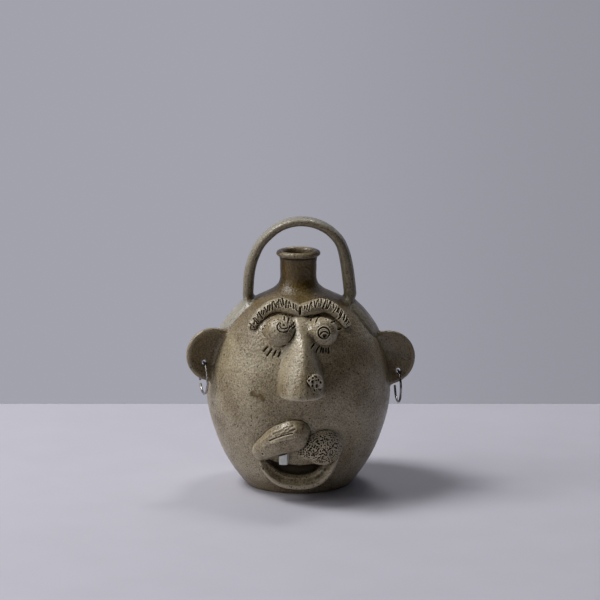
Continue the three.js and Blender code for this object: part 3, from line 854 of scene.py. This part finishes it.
def salt_glaze(name, light, dark):
    """Salt-glazed stoneware: patchy clay, pale on edges, pale bloom with painted light, dark where the glaze
    pooled and as painted shade in creases and hollows, and iron specks.
    """
    finish = Finish(name)
    patches = finish.between(finish.noise(PATCH_SIZE, 4, 0.55), 0.36, 0.64)
    grain = finish.between(finish.noise(GRAIN_SIZE, 2, 0.6), 0.33, 0.67)
    shaded = finish.mix(patches, scaled(dark, 0.52), scaled(light, 0.66))
    clear = finish.mix(patches, scaled(dark, 1.34), scaled(light, 1.26))
    colour = finish.mix(grain, shaded, clear)
    # pale salt bloom, with painted light on the strap's outer faces
    colour = finish.mix(finish.layer("bloom_and_light"), colour, PALE_BLOOM_AND_LIGHT)
    edge = finish.layer("edge")
    colour = finish.mix(finish.between(edge, 0.15, 0.95, 0, 0.6), colour, PALE_EDGE)
    rust_and_shade = finish.mix(grain, scaled(RUST_AND_SHADE, 0.6), scaled(RUST_AND_SHADE, 1.35))
    # the stain layer paints rust on the spots, and brown glaze with painted shade on the neck and forehead
    colour = finish.mix(finish.layer("stain"), colour, rust_and_shade)
    for size, radius, share, strength in SPECKS:
        spots = finish.product(finish.specks(size, radius, share), strength)
        colour = finish.mix(spots, colour, IRON)
    # dark where the glaze pooled, and painted shade in creases, pits, lashes and the mouth's pocket
    colour = finish.mix(finish.between(edge, -0.8, -0.04, 0.96, 0), colour, DARK_POOL_AND_SHADE)
    finish.feed(finish.shader.inputs["Base Color"], colour)
    gloss = finish.between(finish.noise(9, 3), 0.3, 0.7, 0.28, 0.44)
    finish.feed(finish.shader.inputs["Roughness"], gloss)
    finish.feed(finish.shader.inputs["Specular IOR Level"], finish.between(edge, -0.9, -0.1, 0.12, 0.5))
    peel = finish.cells(PEEL_SIZE, "SMOOTH_F1").outputs["Distance"]
    pebbled = finish.bump(peel, PEEL_DEPTH, 0.7)
    ripples = finish.noise(RIPPLE_SIZE, 2)
    finish.feed(finish.shader.inputs["Normal"], finish.bump(ripples, RIPPLE_DEPTH, 0.7, pebbled))
    return finish.material


def white_glaze():
    finish = Finish("white_glaze")
    tone = finish.between(finish.noise(5, 2), 0.3, 0.7)
    colour = finish.mix(tone, WHITE_DULL, WHITE_CLEAR)
    # darker in the tooth's hollows and where it meets the wall
    colour = finish.mix(finish.between(finish.layer("edge"), -0.8, -0.1, 0.7, 0), colour, WHITE_IN_HOLLOWS)
    finish.feed(finish.shader.inputs["Base Color"], colour)
    finish.feed(finish.shader.inputs["Roughness"], finish.between(finish.noise(3, 2), 0.3, 0.7, 0.25, 0.4))
    finish.feed(finish.shader.inputs["Normal"], finish.bump(finish.noise(1.6, 2), 0.1, 0.4))
    return finish.material


def bright_wire():
    finish = Finish("bright_wire")
    finish.shader.inputs["Metallic"].default_value = 1
    tone = finish.between(finish.noise(2.5, 4), 0.35, 0.7)
    finish.feed(finish.shader.inputs["Base Color"], finish.mix(tone, WIRE_DARK, WIRE_BRIGHT))
    gloss = finish.between(finish.noise(1.2, 3), 0.3, 0.7, 0.2, 0.38)
    finish.feed(finish.shader.inputs["Roughness"], gloss)
    finish.feed(finish.shader.inputs["Normal"], finish.bump(finish.noise(0.6, 2), 0.02, 0.4))
    return finish.material


def plain_paper(name, colour):
    finish = Finish(name)
    tone = finish.between(finish.noise(60, 2), 0.3, 0.7)
    finish.feed(finish.shader.inputs["Base Color"], finish.mix(tone, scaled(colour, 0.975), colour))
    finish.shader.inputs["Roughness"].default_value = 0.75
    return finish.material


def lit_wall():
    # The wall is painted light: it glows with no lamp on it, darker to the right as painted shade.
    finish = Finish("glowing_wall")
    finish.shader.inputs["Base Color"].default_value = (0, 0, 0, 1)
    finish.shader.inputs["Roughness"].default_value = 1
    across = finish.node("SeparateXYZ", Vector=finish.place).outputs[0]
    shade = finish.between(across, *WALL_SHADED, 1, 0)
    glow = finish.mix(shade, scaled(WALL_GLOW, WALL_SHADE), WALL_GLOW)
    finish.feed(finish.shader.inputs["Emission Color"], glow)
    finish.shader.inputs["Emission Strength"].default_value = 1
    return finish.material


materials = {
    "stoneware": salt_glaze("stoneware", GREY_CLAY, BROWN_CLAY),
    "handle_glaze": salt_glaze("handle_glaze", HANDLE_PALE, HANDLE_DARK),
    "white_glaze": white_glaze(),
    "bright_wire": bright_wire(),
}


# What the potter pressed and scratched, at the pixels of the photograph where it shows

LEFT_EYE_ON = ("eye_left", "jug_body")
RIGHT_EYE_ON = ("eye_right", "jug_body", "nose")
LEFT_LASHES_BELOW = (
    ((267.2, 347), (263.4, 351)), ((271.7, 348.8), (267, 355.5)), ((275.9, 350.4), (273.6, 355.2)),
    ((280.3, 352), (278.4, 356.5)), ((286, 349), (284, 354.2)), ((288.6, 345.6), (290.8, 348.2)),
)
RIGHT_LASHES_BELOW = (
    ((314.5, 343.4), (311.3, 348.2)), ((319.6, 345.6), (315.8, 352.3)), ((322, 347), (320.5, 352)),
    ((323.9, 348), (323.2, 352.3)), ((326.4, 348), (326.2, 351.7)), ((328.7, 347.5), (328.7, 353)),
)
LEFT_DOTS_ABOVE = ((263, 328.7), (265, 326), (269.2, 323), (274, 320), (278.4, 318.8), (281.6, 317))
LEFT_STROKES_ABOVE = (
    ((284.5, 315.3), (284.5, 319.8)), ((289, 317.6), (288, 322.7)), ((290.8, 326.5), (295.6, 321.7)),
    ((292.4, 328.4), (295.9, 325.5)),
)
RIGHT_MARKS_ABOVE = (
    ((311, 317), (310.8, 321.7)), ((315.8, 321.7), (319.6, 316.6)), ((326, 319.1), (326.8, 319.3)),
    ((331.7, 322.3), (334.9, 321.1)), ((337.4, 328.7), (341.3, 328.2)),
)
LEFT_IRIS = (
    (279.4, 322.8), (277.3, 325.7), (277.7, 329), (280.2, 331.5), (283.9, 332.1), (287.7, 330.8),
    (289.5, 328.3), (289.8, 325.7),
)
LEFT_IRIS_INNER = ((280.6, 322.8), (280, 325.7), (281.5, 328), (284.8, 328.6), (288.1, 327.7))
LEFT_PUPIL = (284.1, 324.8)
RIGHT_IRIS_CENTRE = (324, 332.9)
RIGHT_IRIS_RADIUS = 5.7
RIGHT_IRIS_POINTS = 19
RIGHT_CRESCENT = ((320, 334.7), (321.4, 332.7), (323.4, 331.7), (326.2, 331.6), (328, 333.2))
RIGHT_PUPIL = (325, 336.2)


def press_eyes():
    for line in LEFT_LASHES_BELOW:
        press(line, LEFT_EYE_ON, 1.0, 1.8)
    for line in RIGHT_LASHES_BELOW:
        press(line, RIGHT_EYE_ON, 0.9, 1.8)
    for dot in LEFT_DOTS_ABOVE:
        press((dot,), LEFT_EYE_ON, 1.2, 1.4)
    for line in LEFT_STROKES_ABOVE:
        press(line, LEFT_EYE_ON, 0.9, 1.5)
    for line in RIGHT_MARKS_ABOVE:
        press(line, RIGHT_EYE_ON, 1.0, 1.6)
    press(LEFT_IRIS, ("eye_left",), 0.75, 1.1, rim=0.3)
    press(LEFT_IRIS_INNER, ("eye_left",), 0.7, 1.0, rim=0.2)
    press((LEFT_PUPIL,), ("eye_left",), 1.2, 1.9, STEEP)
    across, down = RIGHT_IRIS_CENTRE
    ring = [
        (across + RIGHT_IRIS_RADIUS * math.cos(turn), down + RIGHT_IRIS_RADIUS * math.sin(turn))
        for turn in np.linspace(0, 2 * math.pi, RIGHT_IRIS_POINTS)
    ]
    press(ring, ("eye_right",), 0.85, 1.3, rim=0.45)
    press(RIGHT_CRESCENT, ("eye_right",), 0.8, 1.2, rim=0.3)
    press((RIGHT_PUPIL,), ("eye_right",), 2.1, 2.6, STEEP)


BROW_TOP = (
    (247.9, 327), (256.8, 314.6), (265.7, 305.7), (276.4, 299.5), (283.6, 298.6), (292.5, 303),
    (300.5, 306.6), (310.4, 303), (319.3, 298.6), (328.2, 299.5), (337.1, 304.8), (346.1, 314.6),
    (352.3, 325.4),
)
BROW_BOTTOM = (
    (251.4, 331.6), (261.3, 323.6), (270.2, 316.4), (280, 313), (292.5, 313.8), (300.5, 315.5),
    (310.4, 315.1), (323.8, 315.5), (335.4, 318.2), (345.2, 326.3), (349.6, 330.7),
)
BROW_NOTCH = ((300.5, 308), (300.2, 313.5))
BROW_HAIRS = 49
BROW_CROSSED = 0.08  # up to this share of its length the hairs cross
BROW_CROSSING = 3
BROW_SPAN = (0.02, 0.98)  # the shares of the brow's length that the hairs run from and to
HAIR_STRAY = 0.006
NOTCH_SHARE = 0.02  # no hair is nearer than this to the brow's middle
HAIR_STARTS = (-0.05, 0.16)  # from the brow's upper line to its lower one
HAIR_ENDS = (0.34, 0.66)
HAIR_LEAN = 2
HAIR_HALF_WIDTHS = (0.6, 1.0)
HAIR_DEPTHS = (0.7, 1.5)


def along(line, share):
    """The place at a share of a line's length."""
    line = np.array(line)
    lengths = np.append(0, np.cumsum(np.linalg.norm(np.diff(line, axis=0), axis=1)))
    return np.array([np.interp(share * lengths[-1], lengths, line[:, k]) for k in range(2)])


def press_brow():
    """Hairs cut in the upper part of the brow, crossed at its left end, and the notch in its middle."""
    chance = np.random.default_rng(5)
    for share in np.linspace(*BROW_SPAN, BROW_HAIRS):
        share += chance.uniform(-HAIR_STRAY, HAIR_STRAY)
        if abs(share - 0.5) < NOTCH_SHARE:
            continue
        top, bottom = along(BROW_TOP, share), along(BROW_BOTTOM, share)
        start = top + (bottom - top) * chance.uniform(*HAIR_STARTS)
        end = top + (bottom - top) * chance.uniform(*HAIR_ENDS)
        lean = chance.uniform(-HAIR_LEAN, HAIR_LEAN)
        lean += BROW_CROSSING * (share < BROW_CROSSED) * chance.choice((-1, 1))
        start, end = start + (lean / 2, 0), end - (lean / 2, 0)
        half_width = chance.uniform(*HAIR_HALF_WIDTHS)
        press((start, end), ("brow",), half_width, chance.uniform(*HAIR_DEPTHS), rim=0.4)
    press(BROW_NOTCH, ("brow",), 1.5, 2.4)


WART_HOLES = (  # each with its half width in mm
    ((309.5, 376.9), 1.15), ((313.1, 377.9), 0.9), ((316.2, 376.7), 1.25), ((309.1, 380.6), 1.0),
    ((313.2, 382), 1.35), ((316.5, 380.3), 0.85), ((318.7, 380), 0.95), ((320.8, 382.4), 1.1),
    ((313, 385.7), 1.15), ((317.3, 385.8), 1.5), ((319, 388.9), 0.8), ((314.6, 390.2), 0.9),
)
PIT_TRIES = 4000
PIT_SPACING = 1.8
PIT_RUN = 1.5
PIT_OFF_WALL = 1.5
PIT_HALF_WIDTHS = (0.5, 0.85)
PIT_DEPTHS = (0.6, 1.5)
PIT_RIM = 0.45


def press_pits():
    """Holes punched in the lump on the nose, and close pits all over the right half of the upper lip."""
    for pixel, half_width in WART_HOLES:
        press((pixel,), ("nose_wart", "nose"), 1.2 * half_width, 1.9 * half_width, STEEP, rim=0.3)
    chance = np.random.default_rng(21)
    points, triangles = forms["upper_lip_right"]
    corners = points[triangles]
    normals = np.cross(corners[:, 1] - corners[:, 0], corners[:, 2] - corners[:, 0])
    areas = np.linalg.norm(normals, axis=1)
    kept = []
    for face in chance.choice(len(areas), PIT_TRIES, p=areas / areas.sum()):
        shares = chance.dirichlet((1, 1, 1))
        place, normal = shares @ corners[face], normals[face] / areas[face]
        outside = math.hypot(place[0], place[1]) - wall_radius(place[2])
        if outside < PIT_OFF_WALL or any(np.linalg.norm(place - other) < PIT_SPACING for other in kept):
            continue
        kept.append(place)
        run = np.cross(normal, chance.normal(size=3))
        path = np.stack([place, place + chance.uniform(0, PIT_RUN) * run / np.linalg.norm(run)])
        half_width = chance.uniform(*PIT_HALF_WIDTHS)
        depth = chance.uniform(*PIT_DEPTHS)
        add_mark(path, normal, ("upper_lip_right",), half_width, depth, STEEP, PIT_RIM)


LIP_CREASE = ((269.5, 440.6), (276.7, 437.6), (284, 435.2), (292, 433.4))
LIP_RIDGE = ((271, 443.2), (279, 441.2), (288, 438.8), (296, 436.8))
LIP_DENTS = (  # the soft dents above the crease
    (274.8, 433.3), (279, 432.1), (281.7, 430.6), (283.6, 433.7), (287.4, 429.4), (289, 432.1),
    (277.5, 435.2), (293, 430), (285.5, 427.5), (291, 426.5),
)
DENT_RUN = (1.6, 0.7)  # half of a dent's run, to the right and up
LIP_DIMPLE = (262.2, 454.2)
MOUTH = ((265.5, 463.5), (271, 466), (283, 469.5), (299, 471), (314, 470), (329, 467))
MOUTH_RIGHT_END = ((321, 467.5), (327, 467))
SPOON = ((266, 466.5), (273, 474), (284, 480), (299, 482), (314, 479.5), (325, 471.5), (330, 461))
CHEEK_SPOTS = (  # each with its half width in mm
    (((252.2, 393.6), (254, 394.5)), 3.4), (((260.5, 395.6), (262.8, 399)), 2.7), (((257.2, 397),), 1.8),
)


def press_mouth():
    press(LIP_CREASE, ("upper_lip_left",), 0.9, 0.9)
    press(LIP_RIDGE, ("upper_lip_left",), 1.5, -0.45)
    right, up = DENT_RUN
    for across, down in LIP_DENTS:
        ends = ((across - right, down + up), (across + right, down - up))
        press(ends, ("upper_lip_left",), 1.5, 0.55)
    press((LIP_DIMPLE,), ("upper_lip_left",), 1.4, 1.0)
    press(MOUTH, ("jug_body",), 7.0, 5.2)
    press(SPOON, ("lower_lip",), 4.2, 1.0)


def stain(pixels, nodes, half_width, strength):
    path, normal = path_on(pixels, nodes)
    stains.append((path, normal, nodes, half_width, strength))


def stain_iron():
    for pixels, half_width in CHEEK_SPOTS:
        stain(pixels, ("jug_body",), half_width, 0.95)
    stain(MOUTH_RIGHT_END, ("jug_body", "lower_lip"), 3.2, 0.5)


# The studio: a pale table, a wall well behind it that glows as painted light, a strong lamp high at the
# left, and weaker ones

TABLE_BACK = 0.3204
TABLE_REACH = 6.0
TABLE_THICKNESS = 0.03
WALL_PLACE = 4.0
WALL_HALF_WIDTH = 9.0
WALL_HALF_HEIGHT = 6.0
FLOOR_DROP = 1.0  # from the table down to the floor of the room
FLOOR_REACH = 15.0
TABLE_COLOUR = (0.5, 0.496, 0.57, 1)
WALL_GLOW = (0.358, 0.358, 0.41, 1)
WALL_SHADED = (-0.2, 0.7)  # from here to here, in metres to the right, it darkens as painted shade
WALL_SHADE = 0.8
LAMP_DISTANCE = 3.0
LAMPS = (  # azimuth from the front towards +X, elevation, side in metres and power in watts
    ("key", -97, 58, 1.0, 64),
    ("side_key", -86, 34, 0.8, 16),
    ("low_left", -66, 20, 1.2, 13),
    ("low_front", -32, 9, 1.6, 5),
    ("back_right", 155, 62, 0.6, 17),
)
LAMP_COLOUR = (1, 0.985, 0.96)
LAMP_AIM = Vector((0, 0, 0.12))
AMBIENT = 0.024


def box_object(name, low, high, material):
    work = bmesh.new()
    bmesh.ops.create_cube(work, size=1)
    low, high = Vector(low), Vector(high)
    for vert in work.verts:
        vert.co = Vector(a + (b - a) * (c + 0.5) for a, b, c in zip(low, high, vert.co))
    mesh = bpy.data.meshes.new(name)
    work.to_mesh(mesh)
    work.free()
    made = bpy.data.objects.new(name, mesh)
    made.data.materials.append(material)
    bpy.context.collection.objects.link(made)


def make_studio():
    paper = plain_paper("table_paper", TABLE_COLOUR)
    box_object("table", (-TABLE_REACH, -TABLE_REACH, -TABLE_THICKNESS), (TABLE_REACH, TABLE_BACK, 0), paper)
    box_object("floor", (-FLOOR_REACH, -FLOOR_REACH, -FLOOR_DROP - TABLE_THICKNESS),
               (FLOOR_REACH, FLOOR_REACH, -FLOOR_DROP), paper)
    box_object("wall", (-WALL_HALF_WIDTH, WALL_PLACE, -WALL_HALF_HEIGHT),
               (WALL_HALF_WIDTH, WALL_PLACE + TABLE_THICKNESS, WALL_HALF_HEIGHT), lit_wall())
    for name, azimuth, elevation, size, power in LAMPS:
        light = bpy.data.lights.new(name, "AREA")
        light.shape = "SQUARE"
        light.size = size
        light.energy = power
        light.color = LAMP_COLOUR
        made = bpy.data.objects.new(name, light)
        turn, rise = math.radians(azimuth), math.radians(elevation)
        way = Vector((math.sin(turn) * math.cos(rise), -math.cos(turn) * math.cos(rise), math.sin(rise)))
        made.location = LAMP_AIM + way * LAMP_DISTANCE
        made.rotation_euler = (-way).to_track_quat("-Z", "Y").to_euler()
        made.visible_camera = False
        bpy.context.collection.objects.link(made)
    world = bpy.data.worlds.new("studio")
    world.use_nodes = True
    world.node_tree.nodes["Background"].inputs["Color"].default_value = SKY
    world.node_tree.nodes["Background"].inputs["Strength"].default_value = AMBIENT
    bpy.context.scene.world = world
    bpy.context.scene.view_settings.view_transform = "Standard"


press_eyes()
press_brow()
press_pits()
press_mouth()
stain_iron()
body_piece()
for clay_node in CLAY:
    clay_piece(clay_node)
for hoop_node in ("earring_left", "earring_right"):
    hoop_piece(hoop_node)
make_studio()
